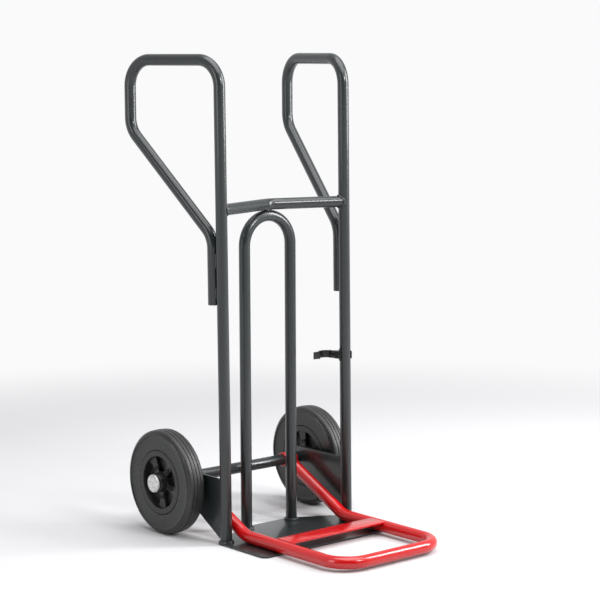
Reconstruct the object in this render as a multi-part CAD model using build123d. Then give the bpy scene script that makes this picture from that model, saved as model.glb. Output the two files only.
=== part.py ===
from build123d import *
import os
from math import atan2, cos, degrees, radians, sin, tan

os.makedirs("parts", exist_ok=True)

# Hand truck: a welded tube frame on two solid-tyred wheels, with a toe frame that
# turns on the axle tube and folds up into a clip on one upright.
# Millimetres. X runs across, +Y to the handles and wheels, -Y to the load, +Z up.
# The origin lies on the floor under the toe plate, between the feet of the uprights.
# Left and right are those of a person who stands behind the truck and pushes:
# left is +X and right is -X.

# ---- welded frame ----
TUBE_OD = 27.0
TUBE_WALL = 2.5
UPRIGHT_X = 187.0            # centre line of each upright from the middle
LEAN = 0.58                  # degrees that the uprights lean back
GRIP_Z = 1121.0              # centre line of the level grips
GRIP_LENGTH = 277.0          # upright to rear vertical, along the splayed grip
SPLAY = 11.2                 # degrees that the grips turn outwards
GRIP_BEND = 62.0             # centre line radius of the two top bends
REAR_KNEE_Z = 960.0          # rear vertical turns into the slanted run here
TAIL_KNEE_Z = 718.0          # slanted run turns down beside the upright here
KNEE_BEND = 62.0
TAIL_END_Z = 561.0

CROSSBAR_Z = 780.5
CROSSBAR_AHEAD = 1.0         # corner of the crossbar ahead of the hoop's centre line
CROSSBAR_BEND = 48.0
HOOP_X = 70.0                # centre line of each hoop leg from the middle
HOOP_Y = 71.0

TOE_PLATE_T = 5.0
TOE_PLATE_PAST_UPRIGHT = 2.5   # sideways, past the outside of each upright
TOE_PLATE_SHORT_OF_REAR = 2.5  # its side ends this far before the rear of the upright
TOE_PLATE_PAST_HOOP = 1.5      # behind the hoop's legs
TOE_PLATE_TAB = 3.0            # rear corner outside the centre line of a hoop leg
TOE_PLATE_FRONT = -159.0
TOE_PLATE_CHAMFER = 9.0

SIDE_PLATE_T = 5.0
SIDE_PLATE_ABOVE_AXLE = 28.0
SIDE_PLATE_BACK_MARGIN = 23.0  # plate behind the axle
SIDE_PLATE_BELOW_AXLE = 6.0    # lower rear corner below the axle

AXLE_Y = 182.0
AXLE_OD = 20.0
AXLE_FIT_GAP = 0.3           # around the axle rod in its tube
AXLE_TUBE_PAST_PLATE = 3.5

WELD = 4.0                   # leg of the weld beads
STITCH_R = 3.6               # section of the short welds beside the tails

# ---- wheels ----
WHEEL_R = 125.0
TYRE_W = 50.0
TYRE_SHOULDER = 11.0         # radius of the rounded edge of the tread
TYRE_CROWN = 0.8             # the tread's middle stands this much above its edges
TYRE_RIB_DEPTH = 9.0         # raised ring on each sidewall, inside the tread
TYRE_RIB_W = 3.5
TYRE_RIB_T = 1.2
TREAD_GROOVES = (-9.5, 0.0, 9.5)
TREAD_GROOVE_W = 2.4
TREAD_GROOVE_DEPTH = 2.2
RIM_R = 77.0
RIM_W = 44.0
RIM_FACE_W = 14.5            # flat ring between the tyre and the windows
SPOKES = 5
SPOKE_HUB_W = 15.0
SPOKE_RIM_W = 29.0
SPOKE_HUB_T = 29.0           # the spokes lie deeper than the rim's faces
SPOKE_RIM_T = 26.0
RIM_WEB_T = 5.0              # solid web that closes the pockets between the spokes
SPOKE_TURN = {1: 21.0, -1: 0.0}  # degrees that each wheel has rolled
WINDOW_FILLET = 3.5
HUB_R = 24.5
HUB_IN = 29.7                # hub end inside the tyre's middle plane
HUB_OUT = 33.0               # hub end outside it
SPIN_GAP = 0.3               # end play between hub and washers
RUN_GAP = 0.08               # running clearance on a shaft
ROLLER_R = 2.5
ROLLERS = 11
ROLLER_END = 5.0             # hub end to roller end
CAGE_WALL = 3.6
WASHER_R = 18.0
WASHER_T = 2.0
CAP_R = 21.5
CAP_T = 2.4
CAP_DOME = 1.2
CAP_SKIRT_T = 1.6
CAP_SKIRT = 4.0

# ---- folding toe frame ----
TOE_OD = 29.0
TOE_WALL = 2.5
TOE_SIDE_GAP = 7.2           # between each side tube and the upright beside it
TOE_FRONT = -373.0           # centre line of the front tube
TOE_CORNER = 65.0
TOE_KNEE_Y = -30.0           # flat part turns up towards the axle here
TOE_KNEE_BEND = 75.0
REST_GAP = 0.3               # toe frame above the toe plate
TOE_BAR_W = 50.0
TOE_BAR_T = 5.0
TOE_BAR_FRONT = -185.0
TOE_BAR_LIP = 1.0            # how far the bar's ends stop short of the tubes' tops
SLEEVE_WALL = 4.0            # outside of a sleeve over the axle tube
SLEEVE_REACH = 18.8          # inner end of a sleeve from its side tube's centre line

# ---- spring clip for the folded toe frame, on the left upright ----
FOLD = 81.2                  # degrees that the toe frame turns from the floor to the clip
CLIP_Z = 407.0
CLIP_H = 18.0
CLIP_SADDLE_H = 28.0
CLIP_GAP = 0.7               # between the clipped tube and the cradle
CLIP_T = 3.0
CLIP_FLARE = 2.0             # how far the saddle's cone runs out past the strap
CLIP_MOUTH_TURN = 20.0       # degrees that the mouth turns from straight ahead
CLIP_SHORT_OF_HALF = 9.0     # each jaw ends this far from the half circle
CLIP_LIP = 19.0
CLIP_LIP_FLARE = 8.0
CLIP_PATH_GAP = 1.1          # clip web beside the path of the clipped tube

# ---- derived ----
R = TUBE_OD / 2
TOE_R = TOE_OD / 2
AXLE_Z = WHEEL_R
AXLE_R = AXLE_OD / 2
CROSSBAR_SET_BACK = HOOP_Y - CROSSBAR_AHEAD
TOE_PLATE_X = UPRIGHT_X + R + TOE_PLATE_PAST_UPRIGHT
TOE_PLATE_SIDE_BACK = R - TOE_PLATE_SHORT_OF_REAR
TOE_PLATE_MID_X = HOOP_X + TOE_PLATE_TAB
TOE_PLATE_MID_BACK = HOOP_Y + R + TOE_PLATE_PAST_HOOP
SIDE_PLATE_TOP = AXLE_Z + SIDE_PLATE_ABOVE_AXLE
SIDE_PLATE_OUT = UPRIGHT_X + SIDE_PLATE_T / 2
SIDE_PLATE_IN = UPRIGHT_X - SIDE_PLATE_T / 2
AXLE_TUBE_END = SIDE_PLATE_OUT + AXLE_TUBE_PAST_PLATE
WHEEL_X = AXLE_TUBE_END + WASHER_T + SPIN_GAP + HUB_IN  # tyre's middle plane
HUB_BORE = AXLE_R + RUN_GAP + 2 * ROLLER_R
HUB_L = HUB_IN + HUB_OUT
WASHER_OUT_X = WHEEL_X + HUB_OUT + SPIN_GAP
CAP_X = WASHER_OUT_X + WASHER_T
TOE_X = UPRIGHT_X - R - TOE_R - TOE_SIDE_GAP            # centre line of each side tube
TOE_Z = TOE_PLATE_T + REST_GAP + TOE_R
SLEEVE_R = R + SLEEVE_WALL
SLEEVE_OUT_X = SIDE_PLATE_IN - SPIN_GAP
SLEEVE_IN_X = TOE_X - SLEEVE_REACH


def lean_y(z):
    """Y of an upright's centre line at height z."""
    return z * tan(radians(LEAN))


def upright_point(side, z, back=0.0):
    """Point on an upright's centre line, or `back` behind it along the splayed grip."""
    out = side * sin(radians(SPLAY)) * back
    return Vector(side * UPRIGHT_X + out, lean_y(z) + cos(radians(SPLAY)) * back, z)


def bent_tube(points, bends, od, wall=None):
    """Tube along straight runs joined by arcs; a solid bar where wall is None."""
    path = FilletPolyline(*points, radius=bends)
    ring = Circle(od / 2)
    if wall:
        ring -= Circle(od / 2 - wall)
    return sweep(Plane(origin=path @ 0, z_dir=path % 0) * ring, path=path)


def rod(start, end, radius):
    """Solid round bar from one point to another."""
    start, end = Vector(start), Vector(end)
    length = (end - start).length
    bar = Cylinder(radius, length, align=(Align.CENTER, Align.CENTER, Align.MIN))
    return Plane(origin=start, z_dir=end - start) * bar


def axle_bar(inner_x, outer_x, radius, side):
    """Solid bar about the axle from inner_x to outer_x on one side of the truck."""
    middle = Pos(side * (inner_x + outer_x) / 2, AXLE_Y, AXLE_Z)
    return middle * Rot(0, 90, 0) * Cylinder(radius, outer_x - inner_x)


def axle_ring(inner_x, outer_x, radius, bore, side):
    return axle_bar(inner_x, outer_x, radius, side) - axle_bar(inner_x, outer_x, bore, side)


def mirrored(side, piece):
    """The piece as built for the left side, or its mirror image for the right."""
    return piece if side > 0 else mirror(piece, about=Plane.YZ)


# ---- welded frame ----
def side_tube_points(side):
    """Foot, grip, rear vertical, slanted run and tail of one side tube."""
    rear = upright_point(side, GRIP_Z, GRIP_LENGTH)
    return [
        upright_point(side, 0),
        upright_point(side, GRIP_Z),
        rear,
        Vector(rear.X, rear.Y, REAR_KNEE_Z),
        upright_point(side, TAIL_KNEE_Z, TUBE_OD),
        upright_point(side, TAIL_END_Z, TUBE_OD),
    ]


def below(z):
    """Block that takes away everything lower than z."""
    return Pos(0, 0, z - 50) * Box(1000, 1000, 100)


def side_tube(side):
    bends = [GRIP_BEND, GRIP_BEND, KNEE_BEND, KNEE_BEND]
    return bent_tube(side_tube_points(side), bends, TUBE_OD, TUBE_WALL) - below(TOE_PLATE_T)


def upright_bar(side, grow=0.0):
    """The upright as a solid bar, for cutting what meets it."""
    top = upright_point(side, GRIP_Z - GRIP_BEND)
    return rod(upright_point(side, 0), top, R + grow)


def crossbar_points():
    return [
        (-UPRIGHT_X, lean_y(CROSSBAR_Z), CROSSBAR_Z),
        (0, CROSSBAR_SET_BACK, CROSSBAR_Z),
        (UPRIGHT_X, lean_y(CROSSBAR_Z), CROSSBAR_Z),
    ]


def upper_crossbar():
    bar = bent_tube(crossbar_points(), [CROSSBAR_BEND], TUBE_OD, TUBE_WALL)
    return bar - upright_bar(1) - upright_bar(-1)


def centre_hoop():
    """Inverted U whose top touches the crossbar from below."""
    spring_z = CROSSBAR_Z - TUBE_OD - HOOP_X
    left_leg = Line((HOOP_X, HOOP_Y, TOE_PLATE_T), (HOOP_X, HOOP_Y, spring_z))
    crown = ThreePointArc(
        (HOOP_X, HOOP_Y, spring_z),
        (0, HOOP_Y, spring_z + HOOP_X),
        (-HOOP_X, HOOP_Y, spring_z),
    )
    right_leg = Line((-HOOP_X, HOOP_Y, spring_z), (-HOOP_X, HOOP_Y, TOE_PLATE_T))
    path = Wire([left_leg.edge(), crown.edge(), right_leg.edge()])
    ring = Circle(R) - Circle(R - TUBE_WALL)
    hoop = sweep(Plane(origin=path @ 0, z_dir=path % 0) * ring, path=path)
    return hoop - bent_tube(crossbar_points(), [CROSSBAR_BEND], TUBE_OD)


def toe_plate():
    half = [
        (TOE_PLATE_X - TOE_PLATE_CHAMFER, TOE_PLATE_FRONT),
        (TOE_PLATE_X, TOE_PLATE_FRONT + TOE_PLATE_CHAMFER),
        (TOE_PLATE_X, TOE_PLATE_SIDE_BACK),
        (TOE_PLATE_MID_X, TOE_PLATE_MID_BACK),
    ]
    outline = half + [(-x, y) for x, y in reversed(half)]
    return extrude(make_face(Polyline(*outline, close=True)), TOE_PLATE_T)


def side_plate(side):
    """Plate between upright and axle, coped to the upright and bored for the axle tube."""
    back = AXLE_Y + SIDE_PLATE_BACK_MARGIN
    outline = Polyline(
        (0, TOE_PLATE_T),
        (R, TOE_PLATE_T),
        (back, AXLE_Z - SIDE_PLATE_BELOW_AXLE),
        (back, SIDE_PLATE_TOP),
        (0, SIDE_PLATE_TOP),
        close=True,
    )
    face = Plane.YZ * make_face(outline)
    plate = Pos(-SIDE_PLATE_T / 2, 0, 0) * extrude(face, SIDE_PLATE_T)
    hole = Pos(0, AXLE_Y, AXLE_Z) * Rot(0, 90, 0) * Cylinder(R, 2 * SIDE_PLATE_T)
    return Pos(side * UPRIGHT_X, 0, 0) * (plate - hole) - upright_bar(side)


def axle_tube():
    tube = Cylinder(R, 2 * AXLE_TUBE_END) - Cylinder(AXLE_R + AXLE_FIT_GAP, 2 * AXLE_TUBE_END)
    return Pos(0, AXLE_Y, AXLE_Z) * Rot(0, 90, 0) * tube


def axle_rod():
    half = CAP_X + CAP_SKIRT
    return Pos(0, AXLE_Y, AXLE_Z) * Rot(0, 90, 0) * Cylinder(AXLE_R, 2 * half)


def foot_bead(x, y):
    """Weld bead on the toe plate around a foot that stands at (x, y)."""
    section = Polyline(
        (R, TOE_PLATE_T),
        (R + WELD, TOE_PLATE_T),
        (R + 0.75 * WELD, TOE_PLATE_T + 0.55 * WELD),
        (R, TOE_PLATE_T + WELD),
        close=True,
    )
    return Pos(x, y, 0) * revolve(Plane.XZ * make_face(section), Axis.Z)


def crossbar_bead(side):
    """Weld bead that follows the saddle line of the crossbar on the upright."""
    grow = WELD * 0.75
    end = Vector(side * UPRIGHT_X, lean_y(CROSSBAR_Z), CROSSBAR_Z)
    middle = Vector(0, CROSSBAR_SET_BACK, CROSSBAR_Z)
    reach = end + (middle - end) * 0.25
    ring = rod(end, reach, R + grow) & upright_bar(side, grow)
    return ring - rod(end, reach, R) - upright_bar(side)


def stitch(side, low, high, hand):
    """Short weld in the groove between the tail and the upright."""
    turn = radians(SPLAY)
    offset = Vector(hand * cos(turn), -side * hand * sin(turn), 0) * (2.2 * STITCH_R)
    start = upright_point(side, low, R) + offset
    end = upright_point(side, high, R) + offset
    bead = rod(start, end, STITCH_R) + Pos(start) * Sphere(STITCH_R) + Pos(end) * Sphere(STITCH_R)
    tail = rod(upright_point(side, TAIL_END_Z, TUBE_OD), upright_point(side, TAIL_KNEE_Z, TUBE_OD), R)
    return bead - upright_bar(side) - tail


def hoop_top_bead(hand):
    """Short weld between the top of the hoop and the crossbar, in front or behind."""
    z = CROSSBAR_Z - R
    centre = Pos(0, HOOP_Y + hand * 2.1 * STITCH_R, z)
    bead = centre * Rot(0, 90, 0) * Cylinder(STITCH_R, 3 * STITCH_R)
    bar = bent_tube(crossbar_points(), [CROSSBAR_BEND], TUBE_OD)
    crown = Pos(0, HOOP_Y, z - R - HOOP_X) * Rot(90, 0, 0) * Torus(HOOP_X, R)
    return bead - bar - crown


def frame_welds():
    beads = []
    for side in (1, -1):
        foot_y = lean_y(TOE_PLATE_T)
        gap = Pos(side * UPRIGHT_X, R + WELD, TOE_PLATE_T) * Box(SIDE_PLATE_T, 2 * R, 4 * WELD)
        beads.append(foot_bead(side * UPRIGHT_X, foot_y) - gap - upright_bar(side))
        beads.append(foot_bead(side * HOOP_X, HOOP_Y))
        beads.append(crossbar_bead(side))
        for hand in (1, -1):
            beads.append(stitch(side, TAIL_END_Z + 16, TAIL_END_Z + 40, hand))
            beads.append(stitch(side, TAIL_KNEE_Z - 76, TAIL_KNEE_Z - 46, hand))
        beads.append(axle_tube_bead(side))
    beads += [hoop_top_bead(1), hoop_top_bead(-1)]
    return beads


def axle_tube_bead(side):
    """Weld ring where the axle tube comes through the side plate."""
    leg = AXLE_TUBE_PAST_PLATE * 0.85
    section = Polyline((0, R), (leg, R), (0, R + leg), close=True)
    ring = revolve(make_face(section), Axis.X)
    return mirrored(side, Pos(SIDE_PLATE_OUT, AXLE_Y, AXLE_Z) * ring)


# ---- wheels ----
def on_axle(side, piece):
    """Places a piece built about the X axis, with +X outwards, at a wheel's middle."""
    return mirrored(side, Pos(WHEEL_X, AXLE_Y, AXLE_Z) * piece)


def tyre(side):
    half = TYRE_W / 2
    flank_x = half - TYRE_CROWN
    flank = [
        (RIM_W / 2, RIM_R),
        (half - 1.2, RIM_R + 2.0),
        (half - 2.0, (RIM_R + WHEEL_R) / 2 - 4),
        (flank_x, WHEEL_R - TYRE_SHOULDER - 4),
        (flank_x, WHEEL_R - TYRE_SHOULDER),
    ]
    edge = flank[-1]
    bend = (flank_x - 0.3 * TYRE_SHOULDER, WHEEL_R - 0.34 * TYRE_SHOULDER)
    top = (half - TYRE_SHOULDER, WHEEL_R - TYRE_CROWN)
    lines = [
        Line((-RIM_W / 2, RIM_R), flank[0]),
        Polyline(*flank),
        ThreePointArc(edge, bend, top),
        ThreePointArc(top, (0, WHEEL_R), (-top[0], top[1])),
        ThreePointArc((-top[0], top[1]), (-bend[0], bend[1]), (-edge[0], edge[1])),
        Polyline(*[(-x, r) for x, r in reversed(flank)]),
    ]
    body = revolve(make_face(Curve() + lines), Axis.X)
    rib = Cylinder(WHEEL_R - TYRE_RIB_DEPTH, 2 * TYRE_RIB_T)
    rib -= Cylinder(WHEEL_R - TYRE_RIB_DEPTH - TYRE_RIB_W, 2 * TYRE_RIB_T)
    groove = Cylinder(WHEEL_R + 1, TREAD_GROOVE_W)
    groove -= Cylinder(WHEEL_R - TREAD_GROOVE_DEPTH, TREAD_GROOVE_W)
    for x in (half - TYRE_RIB_T, TYRE_RIB_T - half):
        body += Pos(x, 0, 0) * Rot(0, 90, 0) * rib
    for x in TREAD_GROOVES:
        body -= Pos(x, 0, 0) * Rot(0, 90, 0) * groove
    return on_axle(side, body)


def spoke_window(inner_r, outer_r, middle):
    """Pocket between two spokes, as a flat face about the wheel's axis."""
    half_turn = 180 / SPOKES
    corners = []
    for radius, width in ((inner_r, SPOKE_HUB_W), (outer_r, SPOKE_RIM_W)):
        edge = half_turn - degrees(atan2(width / 2, radius))
        corners.append([(radius * cos(radians(middle + s * edge)),
                         radius * sin(radians(middle + s * edge))) for s in (-1, 1)])
    (a, b), (d, c) = corners
    mid_in = (inner_r * cos(radians(middle)), inner_r * sin(radians(middle)))
    mid_out = (outer_r * cos(radians(middle)), outer_r * sin(radians(middle)))
    outline = Curve() + [
        ThreePointArc(a, mid_in, b),
        Line(b, c),
        ThreePointArc(c, mid_out, d),
        Line(d, a),
    ]
    window = make_face(outline)
    return fillet(window.vertices(), WINDOW_FILLET)


def rim(side):
    """Moulded rim: barrel, web, five spokes and the hub, in one piece."""
    window_r = RIM_R - RIM_FACE_W
    barrel = Rot(0, 90, 0) * (Cylinder(RIM_R, RIM_W) - Cylinder(window_r, RIM_W))
    hub = Pos((HUB_OUT - HUB_IN) / 2, 0, 0) * Rot(0, 90, 0) * Cylinder(HUB_R, HUB_L)
    inner_r = HUB_R - 2
    outer_r = window_r + 2
    section = Polyline(
        (SPOKE_HUB_T / 2, inner_r), (SPOKE_RIM_T / 2, outer_r),
        (-SPOKE_RIM_T / 2, outer_r), (-SPOKE_HUB_T / 2, inner_r),
        close=True,
    )
    disc = revolve(make_face(section), Axis.X)
    for i in range(SPOKES):
        middle = SPOKE_TURN[side] - 90 + (i + 0.5) * 360 / SPOKES
        window = spoke_window(HUB_R + 2.5, window_r, middle)
        disc -= Pos(-RIM_W / 2, 0, 0) * extrude(Plane.YZ * window, RIM_W)
    disc += Rot(0, 90, 0) * Cylinder(outer_r, RIM_WEB_T)
    bore = Rot(0, 90, 0) * Cylinder(HUB_BORE, 4 * HUB_L)
    return on_axle(side, barrel + disc + hub - bore)


def bearing_span():
    """Ends of the roller bearing, measured outwards from the tyre's middle plane."""
    return -HUB_IN + ROLLER_END, HUB_OUT - ROLLER_END


def roller_places():
    pitch = AXLE_R + RUN_GAP + ROLLER_R
    start, end = bearing_span()
    turn = 360 / ROLLERS
    return [Pos((start + end) / 2, 0, 0) * Rot(i * turn, 0, 0) * Pos(0, 0, pitch) * Rot(0, 90, 0)
            for i in range(ROLLERS)]


def bearing_rollers(side):
    start, end = bearing_span()
    length = end - start - 2 * CAGE_WALL
    return [on_axle(side, place * Cylinder(ROLLER_R, length)) for place in roller_places()]


def bearing_cage(side):
    start, end = bearing_span()
    slack = 0.15
    inner = AXLE_R + 3 * slack
    outer = HUB_BORE - 2 * slack
    ring = Rot(0, 90, 0) * (Cylinder(outer, end - start) - Cylinder(inner, end - start))
    cage = Pos((start + end) / 2, 0, 0) * ring
    for place in roller_places():
        cage -= place * Cylinder(ROLLER_R + slack, end - start - 2 * CAGE_WALL + 2 * slack)
    return on_axle(side, cage)


def hub_cap(side):
    """Pressed cap on the axle end: a domed disc and a skirt that grips the axle."""
    skirt = Cylinder(AXLE_R + CAP_SKIRT_T, CAP_SKIRT) - Cylinder(AXLE_R, CAP_SKIRT)
    skirt = Pos(CAP_SKIRT / 2, 0, 0) * Rot(0, 90, 0) * skirt
    section = Curve() + [
        Line((0, CAP_R), (0, CAP_R - 1.2)),
        Line((0, CAP_R - 1.2), (CAP_SKIRT, CAP_R - 2.2)),
        Line((CAP_SKIRT, CAP_R - 2.2), (CAP_SKIRT, 0)),
        Line((CAP_SKIRT, 0), (CAP_SKIRT + CAP_T, 0)),
        ThreePointArc((CAP_SKIRT + CAP_T, 0), (CAP_SKIRT + CAP_T - CAP_DOME / 4, CAP_R / 2),
                      (CAP_SKIRT + CAP_T - CAP_DOME, CAP_R - 1.0)),
        Line((CAP_SKIRT + CAP_T - CAP_DOME, CAP_R - 1.0), (0, CAP_R)),
    ]
    disc = revolve(make_face(section), Axis.X)
    return mirrored(side, Pos(CAP_X, AXLE_Y, AXLE_Z) * (disc + skirt))


# ---- folding toe frame ----
def toe_frame_points():
    """Pivot, knee, front corner and their mirror images, along the centre line."""
    half = [
        (TOE_X, AXLE_Y, AXLE_Z),
        (TOE_X, TOE_KNEE_Y, TOE_Z),
        (TOE_X, TOE_FRONT, TOE_Z),
    ]
    return half + [(-x, y, z) for x, y, z in reversed(half)]


def toe_frame_path_tube(wall):
    bends = [TOE_KNEE_BEND, TOE_CORNER, TOE_CORNER, TOE_KNEE_BEND]
    return bent_tube(toe_frame_points(), bends, TOE_OD, wall)


def toe_frame_tube():
    tube = toe_frame_path_tube(TOE_WALL)
    for side in (1, -1):
        tube -= axle_bar(SLEEVE_IN_X - TOE_OD, SIDE_PLATE_IN + TOE_OD, SLEEVE_R, side)
    return tube


def toe_side_bar(side):
    """The straight part of a side tube as a solid bar."""
    return rod((side * TOE_X, TOE_FRONT, TOE_Z), (side * TOE_X, 0, TOE_Z), TOE_R)


def toe_frame_crossbar():
    """Flat bar level with the tops of the side tubes, coped to them."""
    y = TOE_BAR_FRONT + TOE_BAR_W / 2
    z = TOE_Z + TOE_R - TOE_BAR_T / 2
    half = TOE_X - (TOE_R ** 2 - (TOE_R - TOE_BAR_LIP) ** 2) ** 0.5
    bar = Pos(0, y, z) * Box(2 * half, TOE_BAR_W, TOE_BAR_T)
    return bar - toe_side_bar(1) - toe_side_bar(-1)


def pivot_sleeve(side):
    return axle_ring(SLEEVE_IN_X, SLEEVE_OUT_X, SLEEVE_R, R + RUN_GAP, side)


def sleeve_bead(side):
    """Weld bead around the arm where it meets the sleeve."""
    grow = WELD * 0.6
    end = Vector(side * TOE_X, AXLE_Y, AXLE_Z)
    knee = Vector(side * TOE_X, TOE_KNEE_Y, TOE_Z)
    reach = end + (knee - end) * 0.3
    sleeve = axle_bar(SLEEVE_IN_X, SLEEVE_OUT_X, SLEEVE_R, side)
    fat_sleeve = axle_bar(SLEEVE_IN_X, SLEEVE_OUT_X, SLEEVE_R + grow, side)
    return (rod(end, reach, TOE_R + grow) & fat_sleeve) - rod(end, reach, TOE_R) - sleeve


def toe_frame_welds():
    beads = []
    z = TOE_Z + TOE_R - TOE_BAR_T
    x = TOE_X - (TOE_R ** 2 - (TOE_R - TOE_BAR_T) ** 2) ** 0.5
    for side in (1, -1):
        beads.append(sleeve_bead(side))
        start = (side * x, TOE_BAR_FRONT + WELD, z)
        end = (side * x, TOE_BAR_FRONT + TOE_BAR_W - WELD, z)
        bead = rod(start, end, WELD * 0.6) - toe_side_bar(side)
        beads.append(bead - toe_frame_crossbar())
    return beads


# ---- spring clip ----
def folded_y(z):
    """Y of a side tube's centre line at height z, with the toe frame folded up."""
    turn = radians(FOLD)
    drop = AXLE_Z - TOE_Z
    foot_y = AXLE_Y - drop * sin(turn)
    foot_z = AXLE_Z - drop * cos(turn)
    return foot_y - (z - foot_z) / tan(turn)


CRADLE_R = TOE_R + CLIP_GAP
TILT_ROOM = CLIP_H / 2 / tan(radians(FOLD))          # the clipped tube isn't quite upright
JAW = (TOE_X, folded_y(CLIP_Z) + TILT_ROOM)          # middle of the cradle
POST = (UPRIGHT_X - TOE_X, lean_y(CLIP_Z) - JAW[1])  # upright, seen from the jaw
POST_ANGLE = degrees(atan2(-POST[1], -POST[0]))      # from the upright to the jaw
SADDLE_HALF = 42.0                                   # degrees of the upright under the saddle
LEFT_END = 180 - CLIP_MOUTH_TURN - CLIP_SHORT_OF_HALF
RIGHT_END = -CLIP_SHORT_OF_HALF


def at_clip(piece, height):
    """Raises a flat face by height, half above and half below the clip's middle."""
    return Pos(JAW[0], JAW[1], CLIP_Z - height / 2) * extrude(piece, height)


def ring_sector(centre, inner, outer, start, sweep_angle):
    """Flat ring sector about a centre, between two angles in degrees."""
    def at(radius, angle):
        return (centre[0] + radius * cos(radians(angle)), centre[1] + radius * sin(radians(angle)))
    end = start + sweep_angle
    middle = start + sweep_angle / 2
    return make_face(Curve() + [
        ThreePointArc(at(inner, start), at(inner, middle), at(inner, end)),
        Line(at(inner, end), at(outer, end)),
        ThreePointArc(at(outer, end), at(outer, middle), at(outer, start)),
        Line(at(outer, start), at(inner, start)),
    ])


def clip_lip(angle, direction):
    """Flared lip from one end of the cradle."""
    middle_r = CRADLE_R + CLIP_T / 2
    start = (middle_r * cos(radians(angle)), middle_r * sin(radians(angle)))
    lip = Pos(CLIP_LIP / 2, 0) * Rectangle(CLIP_LIP, CLIP_T)
    return Pos(*start) * Rot(0, 0, direction) * lip + Pos(*start) * Circle(CLIP_T / 2)


def clip_jaw():
    """Cradle with two flared lips, and the web and saddle that hold it to the upright."""
    cradle = ring_sector((0, 0), CRADLE_R, CRADLE_R + CLIP_T, RIGHT_END, LEFT_END - RIGHT_END)
    left_lip = clip_lip(LEFT_END, 180 - CLIP_MOUTH_TURN + CLIP_LIP_FLARE)
    edge = TOE_R + CLIP_PATH_GAP
    saddle_r = R + CLIP_T
    corner = [(POST[0] + saddle_r * cos(radians(POST_ANGLE + a)),
               POST[1] + saddle_r * sin(radians(POST_ANGLE + a))) for a in (-34, 0, 34)]
    web = make_face(Polyline(
        (edge, 0), (CRADLE_R + CLIP_T, 2.0), (CRADLE_R + CLIP_T + 11.0, -6.5),
        corner[0], corner[1], corner[2], (edge + 0.6, -18.0), close=True))
    flare = make_face(Plane.XZ * Polyline(
        (R, -CLIP_SADDLE_H / 2), (R + 1.2, -CLIP_SADDLE_H / 2), (saddle_r + CLIP_FLARE, -CLIP_H / 2),
        (saddle_r + CLIP_FLARE, CLIP_H / 2), (R + 1.2, CLIP_SADDLE_H / 2), (R, CLIP_SADDLE_H / 2),
        close=True))
    saddle = Rot(0, 0, POST_ANGLE - SADDLE_HALF) * revolve(flare, Axis.Z, 2 * SADDLE_HALF)
    saddle = Pos(JAW[0] + POST[0], JAW[1] + POST[1], CLIP_Z) * saddle
    jaw = at_clip(cradle + left_lip + web, CLIP_H) + saddle
    return jaw - upright_bar(1)


def clip_band():
    """Strap that closes the clip around the upright."""
    start = POST_ANGLE + SADDLE_HALF
    strap = ring_sector(POST, R, R + CLIP_T, start, 360 - 2 * SADDLE_HALF)
    return at_clip(strap, CLIP_H) - upright_bar(1)


# ---- files ----
def save(name, pieces):
    pieces = pieces if isinstance(pieces, list) else [pieces]
    solids = [solid for piece in pieces for solid in piece.solids()]
    shape = solids[0] if len(solids) == 1 else Compound(children=solids)
    export_step(shape, f"parts/{name}.step")


save("upper_crossbar", upper_crossbar())
save("centre_hoop", centre_hoop())
save("toe_plate", toe_plate())
save("axle_tube", axle_tube())
save("axle_rod", axle_rod())
save("frame_welds", frame_welds())
save("toe_frame_tube", toe_frame_tube())
save("toe_frame_crossbar", toe_frame_crossbar())
save("toe_frame_welds", toe_frame_welds())
save("clip_jaw", clip_jaw())
save("clip_band", clip_band())

for hand, side in (("left", 1), ("right", -1)):
    save(f"{hand}_side_tube", side_tube(side))
    save(f"{hand}_side_plate", side_plate(side))
    save(f"{hand}_tyre", tyre(side))
    save(f"{hand}_rim", rim(side))
    save(f"{hand}_bearing_cage", bearing_cage(side))
    save(f"{hand}_bearing_rollers", bearing_rollers(side))
    save(f"{hand}_inner_washer", axle_ring(AXLE_TUBE_END, AXLE_TUBE_END + WASHER_T, WASHER_R, AXLE_R, side))
    save(f"{hand}_outer_washer", axle_ring(WASHER_OUT_X, CAP_X, WASHER_R, AXLE_R, side))
    save(f"{hand}_hub_cap", hub_cap(side))
    save(f"{hand}_pivot_sleeve", pivot_sleeve(side))
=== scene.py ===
# %% [markdown]
# # A hand truck in welded, powder-coated tube
# This lesson builds the looks of a hand truck around a finished mechanical frame. The frame
# already knows every place, size and joint. Here each part gets the shape and the finish that
# the eye expects: bent tubes with even highlights, rippled weld beads, rubber, moulded plastic.
# The first line of work loads that frame, and its bodies carry every piece that we make.

from math import ceil, cos, pi, radians, sin, sqrt, tan

import bmesh
import bpy
from mathutils import Matrix, Vector


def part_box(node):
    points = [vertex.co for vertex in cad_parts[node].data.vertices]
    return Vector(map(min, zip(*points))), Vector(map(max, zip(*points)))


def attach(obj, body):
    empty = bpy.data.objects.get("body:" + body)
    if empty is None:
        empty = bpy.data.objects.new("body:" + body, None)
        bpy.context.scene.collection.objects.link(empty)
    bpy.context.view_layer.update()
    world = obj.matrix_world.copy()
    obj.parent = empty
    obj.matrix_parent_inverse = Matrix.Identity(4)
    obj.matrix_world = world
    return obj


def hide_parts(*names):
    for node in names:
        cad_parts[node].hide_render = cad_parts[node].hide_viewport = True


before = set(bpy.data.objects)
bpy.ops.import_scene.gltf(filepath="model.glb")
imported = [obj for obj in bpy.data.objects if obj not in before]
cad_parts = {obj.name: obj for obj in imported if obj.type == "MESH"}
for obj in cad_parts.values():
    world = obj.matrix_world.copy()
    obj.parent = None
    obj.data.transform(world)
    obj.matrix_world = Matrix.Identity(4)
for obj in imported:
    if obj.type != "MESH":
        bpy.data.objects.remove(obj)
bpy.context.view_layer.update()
scene = bpy.context.scene

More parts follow.
